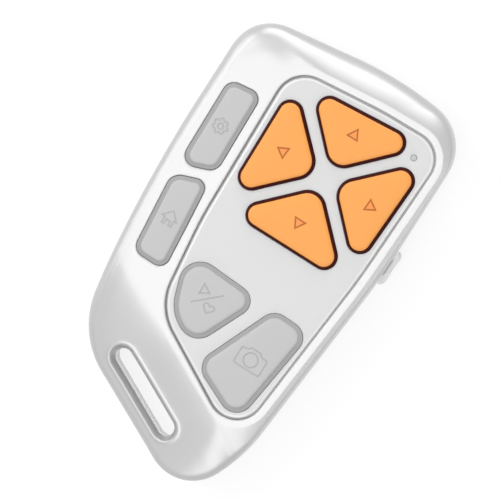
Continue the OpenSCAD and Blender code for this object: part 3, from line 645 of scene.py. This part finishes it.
# Its inside: the wall, the floor, the slot's tube and the wall round the battery well
foot = outline(body, REAR_FOOT)
rear.rings([hole_z(foot, REAR_FLOOR), hole_z(wall, REAR_FOOT_TOP), hole_z(wall, SEAM)])
well_in, well_out = circle(CELL_AT, WELL_R, 96), circle(CELL_AT, WELL_OUT_R, 96)
rear.band(hole_z(well_in, WELL_FLOOR), hole_z(well_in, WELL_TOP))
rear.rings([at_z(well_out, REAR_FLOOR), at_z(well_out, WELL_TOP), at_z(well_in, WELL_TOP)])
rear.flat(well_in, [bore], WELL_FLOOR)
rear.rings([at_z(tube, REAR_FLOOR), at_z(tube, SEAM), at_z(mouth, SEAM)])
for shank in shanks:
    rear.band(hole_z(shank, SCREW_SEAT), hole_z(shank, REAR_FLOOR))
rear.flat(foot, [well_out, tube] + shanks, REAR_FLOOR, step=INSIDE_STEP)
rear_shell = rear.build([white, slot_wall_painted_light])

# The notch for the switch's neck, measured from the switch: its ends and its floor
NOTCH_LOW_Y, NOTCH_HIGH_Y, NOTCH_FLOOR = -3.8, 1.8, -0.8
# Reach of the faces that its planes may cut, reach of those that go, and how far off a plane a point may lie
CUT_X, CUT_Y, GONE_X, OFF_PLANE = 2.6, 7, 1.75, 0.004


def cut_notch(o):
    """Cuts the notch out of the side and closes it with two end walls and a floor."""
    me = o.data
    c, s = math.cos(LEAN), math.sin(LEAN)
    to_local = Matrix(((c, -s, 0, 0), (s, c, 0, 0), (0, 0, 1, 0), (0, 0, 0, 1)))
    to_body = to_local.inverted()
    centre = Vector((SWITCH_X, SWITCH_Y, SWITCH_Z))
    bm = bmesh.new()
    bm.from_mesh(me)

    def local(v):
        return to_local @ (Vector(v) / MM - centre)

    def lies(v, axis, place):
        return abs(local(v.co)[axis] - place) < OFF_PLANE

    # Each wall as the axis across it, its place on that axis and the side that it faces
    walls = ((1, NOTCH_LOW_Y, 1), (1, NOTCH_HIGH_Y, -1), (2, NOTCH_FLOOR, 1))
    for axis, place, _ in walls:
        close = []
        for f in bm.faces:
            q = local(f.calc_center_median())
            if abs(q.x) < CUT_X and abs(q.y) < CUT_Y:
                close.append(f)
        # A dictionary keeps its order, which a set of these doesn't, so each run gives the same mesh
        edges = list(dict.fromkeys(e for f in close for e in f.edges))
        verts = list(dict.fromkeys(v for f in close for v in f.verts))
        point, across = Vector(), Vector()
        point[axis], across[axis] = place, 1
        bmesh.ops.bisect_plane(bm, geom=close + edges + verts, plane_co=(to_body @ point + centre) * MM,
                               plane_no=to_body.to_3x3() @ across, dist=1e-8)
    gone = []
    for f in bm.faces:
        q = local(f.calc_center_median())
        if abs(q.x) < GONE_X and NOTCH_LOW_Y < q.y < NOTCH_HIGH_Y and q.z > NOTCH_FLOOR:
            gone.append(f)
    bmesh.ops.delete(bm, geom=gone, context="FACES")
    open_edges = [e for e in bm.edges if len(e.link_faces) == 1]
    rims = [[e for e in open_edges if all(lies(v, axis, place) for v in e.verts)] for axis, place, _ in walls]
    for rim in rims[:2]:
        ends = list(dict.fromkeys(v for e in rim for v in e.verts if lies(v, 2, NOTCH_FLOOR)))
        corner = bm.edges.new(ends)
        rim.append(corner)
        rims[2].append(corner)
    for rim, (axis, _, facing) in zip(rims, walls):
        across = Vector()
        across[axis] = facing
        for f in bmesh.ops.contextual_create(bm, geom=rim)["faces"]:
            f.normal_update()
            if f.normal.dot(to_body.to_3x3() @ across) < 0:
                f.normal_flip()
    bm.to_mesh(me)
    bm.free()
    shade(me, SHARP)


cut_notch(rear_shell)
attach(rear_shell, "housing")
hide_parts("rear_shell")

# The face plate: a rolled edge as (inset, depth), a lip round the windows and a groove below the edge
ROLLED_EDGE = [(0.34, 0.3), (0.38, 0.2), (0.46, 0.13), (0.62, 0.07), (0.8, 0.02), (0.95, 0.0)]
WINDOW_LIP = [(0.14, 0.0), (0.05, 0.03), (0.0, 0.12)]
LIGHT_LIP = [(0.12, 0.0), (0.04, 0.03), (0.0, 0.1)]
PLATE_SIDE = [(0.3, 0.75), (0.04, 0.72), (0.04, 0.66), (0.34, 0.6), (0.34, 0.3)]
PLATE_INSET, HIGHLIGHT_INSET, PLATE_STEP = 0.3, 0.8, 1.5

pl = Sheet("face_plate_visual")
loops = [(outline(plate, i), PLATE_Z - d) for i, d in ROLLED_EDGE]
plate_windows = []
for name in PLATE_KEYS:
    loops += [(outline(windows[name], -g), PLATE_Z - d) for g, d in WINDOW_LIP]
    plate_windows.append(outline(windows[name], 0))
loops += [(circle(LIGHT_AT, LIGHT_R + g, 32), PLATE_Z - d) for g, d in LIGHT_LIP]
light_hole = circle(LIGHT_AT, LIGHT_R, 32)
# Faces outside this line, on the rolled edge, take material 1: a painted highlight
painted_highlight_inner = outline(plate, HIGHLIGHT_INSET)
pl.fill(loops, outline(plate, ROLLED_EDGE[0][0]), plate_windows + [light_hole],
        lambda q: np.full(len(q), PLATE_Z), step=PLATE_STEP, mats=lambda c: np.where(inside(c, painted_highlight_inner), 0, 1))
plate_foot = outline(plate, PLATE_INSET)
# The plate's side takes material 2, whose darker grey is painted shade in the groove
pl.rings([at_z(plate_foot, LEDGE)] + [at_z(outline(plate, i), PLATE_Z - d) for i, d in PLATE_SIDE], 2)
for hole in plate_windows:
    pl.band(hole_z(hole, LEDGE), hole_z(hole, PLATE_Z - WINDOW_LIP[-1][1]))
pl.band(hole_z(light_hole, LEDGE), hole_z(light_hole, PLATE_Z - LIGHT_LIP[-1][1]))
pl.flat(plate_foot, plate_windows + [light_hole], LEDGE, down=True)
face_plate = pl.build([plate_grey, plate_edge_painted_highlight, groove])
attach(face_plate, "housing")
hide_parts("face_plate")


# Marks on the keys, as closed lines
def closed(points, n=6):
    """A closed polygon with n points for each side."""
    p = np.array(points, float)
    return np.array([a + (b - a) * t for a, b in zip(p, np.roll(p, -1, 0)) for t in np.arange(n) / n])


def offset(loop, d):
    """Moves a closed anticlockwise loop outwards by d."""
    a = loop - np.roll(loop, 1, 0)
    b = np.roll(loop, -1, 0) - loop
    a /= np.linalg.norm(a, axis=1)[:, None]
    b /= np.linalg.norm(b, axis=1)[:, None]
    u = np.column_stack([a[:, 1], -a[:, 0]])
    v = np.column_stack([b[:, 1], -b[:, 0]])
    return loop + (u + v) / np.maximum(1 + (u * v).sum(1), 0.35)[:, None] * d


def gear(at, r_out, r_in, teeth, n=12):
    t = 2 * math.pi * np.arange(teeth * n) / (teeth * n)
    w = np.clip(1.6 * np.cos(teeth * t), -1, 1)
    r = (r_out + r_in) / 2 + (r_out - r_in) / 2 * w
    return np.array(at) + r[:, None] * np.stack([np.cos(t), np.sin(t)], 1)


def heart(at, size):
    """A heart drawn with straight sides, short enough to look round."""
    right = [(0.19, 0.41), (0.38, 0.52), (0.6, 0.54), (0.8, 0.44), (0.93, 0.24), (0.93, 0.0), (0.82, -0.24),
             (0.45, -0.6)]
    p = [(0, 0.22)] + right + [(0, -0.95)] + [(-x, y) for x, y in right[::-1]]
    return np.array(at) + np.array(p) * size / 2


def anticlockwise(p):
    p = np.asarray(p, float)
    a = (p[:, 0] * np.roll(p[:, 1], -1) - np.roll(p[:, 0], -1) * p[:, 1]).sum()
    return p if a > 0 else p[::-1]


def shrunk(points, share):
    p = np.array(points)
    return p.mean(0) + (p - p.mean(0)) * share


GEAR_AT = (-15.41, 17.52)
marks = {
    "up": [closed([(5.42, 29.63), (4.23, 27.70), (6.37, 27.70)])],
    "right": [closed([(15.35, 19.25), (13.57, 20.48), (13.42, 18.23)])],
    "down": [closed([(4.95, 9.15), (6.19, 11.03), (3.95, 11.04)])],
    "left": [closed([(-4.98, 19.63), (-3.2, 18.38), (-3.0, 20.58)])],
    "settings": [gear(GEAR_AT, 1.4, 1.08, 7), circle(GEAR_AT, 0.5, 28)],
    "home": [[(-14.69, 0.59), (-16.16, -0.95), (-15.62, -0.95), (-15.62, -2.09), (-15.1, -2.09),
              (-15.1, -1.25), (-14.3, -1.25), (-14.3, -2.09), (-13.76, -2.09), (-13.76, -0.95),
              (-13.25, -0.95)]],
    "play": [closed(shrunk([(-3.46, -7.33), (-3.46, -9.26), (-1.87, -8.33)], 0.97)),
             heart((-0.68, -10.55), 2.16)],
    "camera": [closed([(7.86, -13.35), (7.86, -16.0), (8.1, -16.26), (12.74, -16.26), (12.98, -16.0),
                       (12.98, -13.35), (12.74, -13.07), (11.75, -13.07), (11.35, -12.49), (9.35, -12.49),
                       (8.95, -13.07), (8.1, -13.07)], 4), circle((10.35, -14.47), 1.3, 40)],
}
SLASH = ((-3.85, -11.24), (0.46, -7.40))
# Half the width of an engraved line, the width of its sloping side and its depth
STROKE, EASE, DEEP = 0.1, 0.04, 0.07
ARROW_MARK_SHARE = 0.9

# Profiles of the keys from below as (inset, height above the base, share of the rise above the base)
ARROW_PROFILE = [(0.1, -1.7, 0), (0.1, 0.08, 0), (0.14, 0.22, 0), (0.24, 0.36, 0), (0.42, 0.47, 0),
                 (0.57, 0.53, 0), (0.62, 0.62, 0), (0.72, 0.7, 0), (0.9, 0.76, 0), (1.2, 0.8, 0),
                 (1.65, 0.83, 0)]
GREY_PROFILE = [(0.06, -1.4, 0), (0.06, -0.1, 0), (0.12, -0.03, 0), (0.3, 0, 0), (0.82, 0.02, 0),
                (0.87, 0, 0.35), (0.94, 0, 0.6), (1.06, 0, 0.78), (1.4, 0, 0.88)]
ARROW_RISE, SIDE_RISE, LOW_RISE = 0.9, 0.2, 0.4
# Bands of a profile that have the side's material, whose dark colour is painted shade round the key
ARROW_SHADE_BANDS, GREY_SHADE_BANDS = 5, 4
# Width over which a key's top is crowned, and the share of the rise left that it reaches
CROWNED_W, CROWNED_SHARE = 2.4, 0.97
KEY_STEP = 0.7


def make_key(name):
    """A key with its stepped edge, crowned top and engraved mark."""
    is_arrow = name in ARROWS
    if is_arrow:
        base, rise, profile, sides = PLATE_Z, ARROW_RISE, ARROW_PROFILE, ARROW_SHADE_BANDS
        mats = [orange, arrow_side_painted_shade, arrow_line, arrow_face]
    else:
        base, rise = (RIM, SIDE_RISE) if name in SIDE_KEYS else (PLATE_Z, LOW_RISE)
        profile, sides = GREY_PROFILE, GREY_SHADE_BANDS
        mats = [grey, grey_side_painted_shade, grey_line, grey]
    k = Sheet("key_" + name + "_visual")
    rings = [at_z(outline(windows[name], i), base + h + rise * share) for i, h, share in profile]
    # The lowest bands take the side's material, whose dark colour is painted shade round the key
    k.rings(rings, [1] * sides + [0] * (len(rings) - 1 - sides))
    foot, foot_z = rings[0][:, :2], rings[0][0, 2]
    edge, edge_z = rings[-1][:, :2], rings[-1][0, 2]

    def z(q):
        d = np.minimum(dist(q, edge) / CROWNED_W, 1)
        return edge_z + (base + rise - edge_z) * (1 - (1 - d) ** 2) * CROWNED_SHARE

    loops = [(edge, edge_z)]
    lines, cores = [], []
    if name == "play":
        broad, narrow = capsule(*SLASH, STROKE + EASE), capsule(*SLASH, STROKE)
        loops += [(broad, z(broad)), (narrow, z(narrow) - DEEP)]
        # The slash is a line throughout, so nothing inside it is left out
        lines.append((broad, np.empty((0, 2))))
    for mark in marks[name]:
        mark = anticlockwise(shrunk(mark, ARROW_MARK_SHARE) if is_arrow else mark)
        for d, deep in ((STROKE + EASE, 0), (STROKE, DEEP), (-STROKE, DEEP), (-STROKE - EASE, 0)):
            q = offset(mark, d)
            loops.append((q, z(q) - deep))
        lines.append((offset(mark, STROKE + EASE), offset(mark, -STROKE - EASE)))
        if is_arrow:
            cores.append(offset(mark, -STROKE - EASE))

    def look(c):
        """The material of each face of the top: 2 on a line, 3 inside an arrow key's mark."""
        out = np.zeros(len(c), int)
        for outer, inner in lines:
            out[inside(c, outer) & ~inside(c, inner)] = 2
        for core in cores:
            out[inside(c, core)] = 3
        return out

    k.fill(loops, edge, [], z, step=KEY_STEP, mats=look)
    k.flat(foot, [], foot_z, down=True)
    o = k.build(mats, angle=50)
    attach(o, name + "_key")
    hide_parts("key_" + name)


for name in windows:
    make_key(name)


# The power knob: half its length, its reach out of the wall, the gap behind it and half its height
KNOB_HALF, KNOB_OUT, KNOB_BACK, KNOB_H = 3.35, 1.0, 0.06, 1.1
# The radius of its corners, and the most that they take of its reach and of half its height
KNOB_R, KNOB_R_SHARE = 0.36, 0.9
# Depth and width of its finger dip, sharpness of its ends and least share of reach and of height there
DIP, DIP_W, END_POWER, END_OUT, END_H = 0.11, 1.3, 7, 0.12, 0.86
# Its neck: from and to in x, half its length and half its height
NECK_X, NECK_Y, NECK_Z = (-2.8, 0.3), 1.5, 0.7


def at_switch(x, y, z):
    """A point measured from the switch, along the side wall there."""
    c, s = math.cos(LEAN), math.sin(LEAN)
    return (SWITCH_X + x * c + y * s, SWITCH_Y - x * s + y * c, SWITCH_Z + z)


def make_knob():
    """Two lobes with a dip between them, and the neck that leads to the switch."""
    k = Sheet("power_knob_visual")
    rings = []
    for y in KNOB_HALF * np.sin(np.radians(np.linspace(-90, 90, 61))):
        e = max(0.0, 1 - abs(y / KNOB_HALF) ** END_POWER) ** 0.5
        dip = DIP * math.exp(-((y / DIP_W) ** 2))
        x_out = KNOB_BACK + (KNOB_OUT - KNOB_BACK - dip) * max(e, END_OUT)
        h = KNOB_H * (END_H + (1 - END_H) * e)
        r = min(KNOB_R, (x_out - KNOB_BACK) * KNOB_R_SHARE, h * KNOB_R_SHARE)
        pts = [(KNOB_BACK, -h)]
        for low, mid in ((-90, r - h), (0, h - r)):
            for t in np.radians(np.linspace(low, low + 90, 8)):
                pts.append((x_out - r + r * math.cos(t), mid + r * math.sin(t)))
        pts.append((KNOB_BACK, h))
        rings.append([at_switch(x, y, z) for x, z in pts])
    n = len(rings[0])
    faces = []
    for a in range(0, n * (len(rings) - 1), n):
        for j in range(n):
            i = (j + 1) % n
            faces.append([a + n + j, a + n + i, a + i, a + j])
    faces.append(list(range(n)))
    faces.append([n * len(rings) - 1 - j for j in range(n)])
    k.add([p for ring in rings for p in ring], faces)
    section = ((-NECK_Y, -NECK_Z), (NECK_Y, -NECK_Z), (NECK_Y, NECK_Z), (-NECK_Y, NECK_Z))
    k.add([at_switch(x, y, z) for x in NECK_X for y, z in section],
          [[0, 1, 5, 4], [1, 2, 6, 5], [2, 3, 7, 6], [3, 0, 4, 7], [3, 2, 1, 0], [4, 5, 6, 7]])
    o = k.build([knob_white], angle=50)
    bm = bmesh.new()
    bm.from_mesh(o.data)
    bmesh.ops.recalc_face_normals(bm, faces=bm.faces)
    bm.to_mesh(o.data)
    bm.free()
    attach(o, "power_slider")
    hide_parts("power_knob")


make_knob()

# The battery door: its outer face, the ring on it and the tabs on that ring
DOOR_LOW, DOOR_TOP, RING_TOP, TAB_LOW = 0.1, 1.4, 2.2, 1.5
DOOR_R, RING_OUT_R, RING_IN_R = 11.8, 11.4, 10.3
TAB_IN_R, TAB_OUT_R, TAB_HALF = 11.3, 13.0, 12
DOOR_EDGE = [(11.8, 0.16), (11.74, 0.05), (11.6, 0.0)]
DOOR_STEP, DOOR_INSIDE_STEP = 1.4, 2.0
# The coin groove: half its width, half its length and its side as (distance out of the groove, depth)
GROOVE_R, GROOVE_HALF, GROOVE_FLOOR, GROOVE_DEPTH = 0.9, 7.316, -0.3, 0.6
GROOVE_SIDE = [(0.12, 0.0), (0.03, 0.04), (-0.04, 0.14), (-0.14, 0.5), (GROOVE_FLOOR, 0.58)]


def make_door():
    """A disc with an eased rim, a coin groove, and a ring with three bayonet tabs."""
    k = Sheet("battery_door_visual")
    a, b = CELL_AT - [GROOVE_HALF - GROOVE_R, 0], CELL_AT + [GROOVE_HALF - GROOVE_R, 0]
    disc, ring_out, ring_in = [circle(CELL_AT, r, 120) for r in (DOOR_R, RING_OUT_R, RING_IN_R)]
    groove_floor = capsule(a, b, GROOVE_R + GROOVE_FLOOR, 16)

    def z(q):
        return np.where(inside(np.atleast_2d(q), groove_floor), DOOR_LOW + GROOVE_DEPTH, DOOR_LOW)

    loops = [(circle(CELL_AT, r, 120), DOOR_LOW + d) for r, d in DOOR_EDGE]
    loops += [(capsule(a, b, GROOVE_R + g, 16), DOOR_LOW + d) for g, d in GROOVE_SIDE]
    k.fill(loops, disc, [], z, step=DOOR_STEP, down=True)
    k.band(at_z(disc, DOOR_LOW + DOOR_EDGE[0][1]), at_z(disc, DOOR_TOP))
    k.flat(disc, [ring_out], DOOR_TOP)
    k.band(at_z(ring_out, DOOR_TOP), at_z(ring_out, RING_TOP))
    k.band(hole_z(ring_in, DOOR_TOP), hole_z(ring_in, RING_TOP))
    k.flat(ring_out, [ring_in], RING_TOP)
    k.flat(ring_in, [], DOOR_TOP, step=DOOR_INSIDE_STEP)
    for turn in (TAB_TURN, TAB_TURN + 120, TAB_TURN + 240):
        t = np.radians(np.linspace(turn - TAB_HALF, turn + TAB_HALF, 13))
        arc = np.stack([np.cos(t), np.sin(t)], 1)
        tab = np.concatenate([arc * TAB_OUT_R + CELL_AT, (arc * TAB_IN_R + CELL_AT)[::-1]])
        k.band(at_z(tab, TAB_LOW), at_z(tab, RING_TOP))
        k.flat(tab, [], RING_TOP)
        k.flat(tab, [], TAB_LOW, down=True)
    o = k.build([white], angle=40)
    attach(o, "battery_cover")
    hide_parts("battery_door")


make_door()

# The camera: its tilt to each side, its roll, its distance and what it looks at
TILT, VIEW_ROLL, DISTANCE = 6, 31.3, 450
AIM = Vector((0.155, 1.826, 12.0))
# Pixels for a millimetre at that point, and the widths of picture and sensor
PX_PER_MM, PICTURE, SENSOR = 5.75, 500, 36.0
tilt = math.tan(math.radians(TILT))
back = Vector((tilt, tilt, 1)).normalized()
up = (Vector((0, 1, 0)) - back * back.y).normalized()
right = up.cross(back)
roll = math.radians(VIEW_ROLL)
cam_x = right * math.cos(roll) + up * math.sin(roll)
cam_y = -right * math.sin(roll) + up * math.cos(roll)
cam_data = bpy.data.cameras.new("camera")
cam_data.sensor_width = SENSOR
cam_data.lens = SENSOR * PX_PER_MM * DISTANCE / PICTURE
cam_data.clip_start = 0.01
cam = bpy.data.objects.new("camera", cam_data)
bpy.context.scene.collection.objects.link(cam)
cam_place = Matrix((cam_x, cam_y, back)).transposed().to_4x4()
cam_place.translation = (AIM + back * DISTANCE) * MM
cam.matrix_world = cam_place
bpy.context.scene.camera = cam


def seen_rays(tree):
    """A socket that is 1 for the rays that the picture shows, straight, mirrored or let through,
    and the light path node that it comes from."""
    path = tree.nodes.new("ShaderNodeLightPath")
    seen = path.outputs["Is Camera Ray"]
    for kind in ("Is Glossy Ray", "Is Transmission Ray"):
        most = tree.nodes.new("ShaderNodeMath")
        most.operation = "MAXIMUM"
        tree.links.new(seen, most.inputs[0])
        tree.links.new(path.outputs[kind], most.inputs[1])
        seen = most.outputs[0]
    return seen, path


# The floor: seen as nearly white with the object's shadow, and as a grey that throws light back
FLOOR_HALF, FLOOR_Z = 3000, -0.02
FLOOR_GREY, SHADOW_GREY, FLOOR_GLOW = 0.55, 0.2, 0.83
floor_sheet = Sheet("floor")
corners = ((-1, -1), (1, -1), (1, 1), (-1, 1))
floor_sheet.add([(x * FLOOR_HALF, y * FLOOR_HALF, FLOOR_Z) for x, y in corners], [[0, 1, 2, 3]])
floor_look = bpy.data.materials.new("floor_look")
floor_look.use_nodes = True
tree = floor_look.node_tree
tree.nodes.clear()
out = tree.nodes.new("ShaderNodeOutputMaterial")
plain = tree.nodes.new("ShaderNodeBsdfDiffuse")
plain.inputs["Color"].default_value = (FLOOR_GREY, FLOOR_GREY, FLOOR_GREY, 1)
faint = tree.nodes.new("ShaderNodeBsdfDiffuse")
faint.inputs["Color"].default_value = (SHADOW_GREY, SHADOW_GREY, SHADOW_GREY, 1)
glow = tree.nodes.new("ShaderNodeEmission")
glow.inputs["Strength"].default_value = FLOOR_GLOW
both = tree.nodes.new("ShaderNodeAddShader")
pick = tree.nodes.new("ShaderNodeMixShader")
tree.links.new(seen_rays(tree)[0], pick.inputs["Fac"])
tree.links.new(faint.outputs[0], both.inputs[0])
tree.links.new(glow.outputs[0], both.inputs[1])
tree.links.new(plain.outputs[0], pick.inputs[1])
tree.links.new(both.outputs[0], pick.inputs[2])
tree.links.new(pick.outputs[0], out.inputs["Surface"])
floor = floor_sheet.build([floor_look])

# The world: white in the picture, a little darker in reflections, and a weak light from all sides
WORLD_SEEN, WORLD_SHINE, WORLD_LIGHT = 1.0, 0.88, 0.3
world = bpy.data.worlds.new("studio")
bpy.context.scene.world = world
world.use_nodes = True
tree = world.node_tree
light = tree.nodes["Background"]
light.inputs["Color"].default_value = (1, 1, 1, 1)
light.inputs["Strength"].default_value = WORLD_LIGHT
shown = tree.nodes.new("ShaderNodeBackground")
shown.inputs["Color"].default_value = (1, 1, 1, 1)
shine = tree.nodes.new("ShaderNodeMapRange")
shine.inputs["To Min"].default_value = WORLD_SEEN
shine.inputs["To Max"].default_value = WORLD_SHINE
pick = tree.nodes.new("ShaderNodeMixShader")
seen, path = seen_rays(tree)
tree.links.new(seen, pick.inputs["Fac"])
tree.links.new(path.outputs["Is Glossy Ray"], shine.inputs["Value"])
tree.links.new(shine.outputs["Result"], shown.inputs["Strength"])
tree.links.new(light.outputs[0], pick.inputs[1])
tree.links.new(shown.outputs[0], pick.inputs[2])
tree.links.new(pick.outputs[0], tree.nodes["World Output"].inputs["Surface"])

# Distance of the softboxes and the height that they aim at
LIGHT_AWAY, LIGHT_AIM = 600, 8


def softbox(name, turn, height, size, strength):
    """An area light aimed at the object: turn is its bearing in the picture from the right,
    anticlockwise, height its angle above the floor, both in degrees, and strength the brightness
    that its face shows in a reflection."""
    t, h = math.radians(turn), math.radians(height)
    flat_x = Vector((cam_x.x, cam_x.y, 0)).normalized()
    flat_y = Vector((-flat_x.y, flat_x.x, 0))
    way = (flat_x * math.cos(t) + flat_y * math.sin(t)) * math.cos(h) + Vector((0, 0, 1)) * math.sin(h)
    data = bpy.data.lights.new(name, "AREA")
    data.shape = "RECTANGLE"
    data.size, data.size_y = size[0] * MM, size[1] * MM
    data.energy = strength * math.pi * data.size * data.size_y
    o = bpy.data.objects.new(name, data)
    bpy.context.scene.collection.objects.link(o)
    wide = Vector((-way.y, way.x, 0)).normalized()
    place = Matrix((wide, way.cross(wide), way)).transposed().to_4x4()
    place.translation = way * LIGHT_AWAY * MM + Vector((0, 0, LIGHT_AIM * MM))
    o.matrix_world = place


softbox("top_light", 200, 82, (390, 390), 2.0)
softbox("key_light", 140, 48, (420, 320), 2.3)
softbox("left_light", 150, 14, (460, 200), 1.8)
softbox("upper_right_light", 73, 24, (300, 440), 2.3)
softbox("rim_light", 70, 9, (460, 160), 1.6)
softbox("right_light", -30, 30, (180, 480), 1.9)
softbox("lower_light", 252, 48, (270, 320), 2.1)

bpy.context.scene.view_settings.view_transform = "Standard"
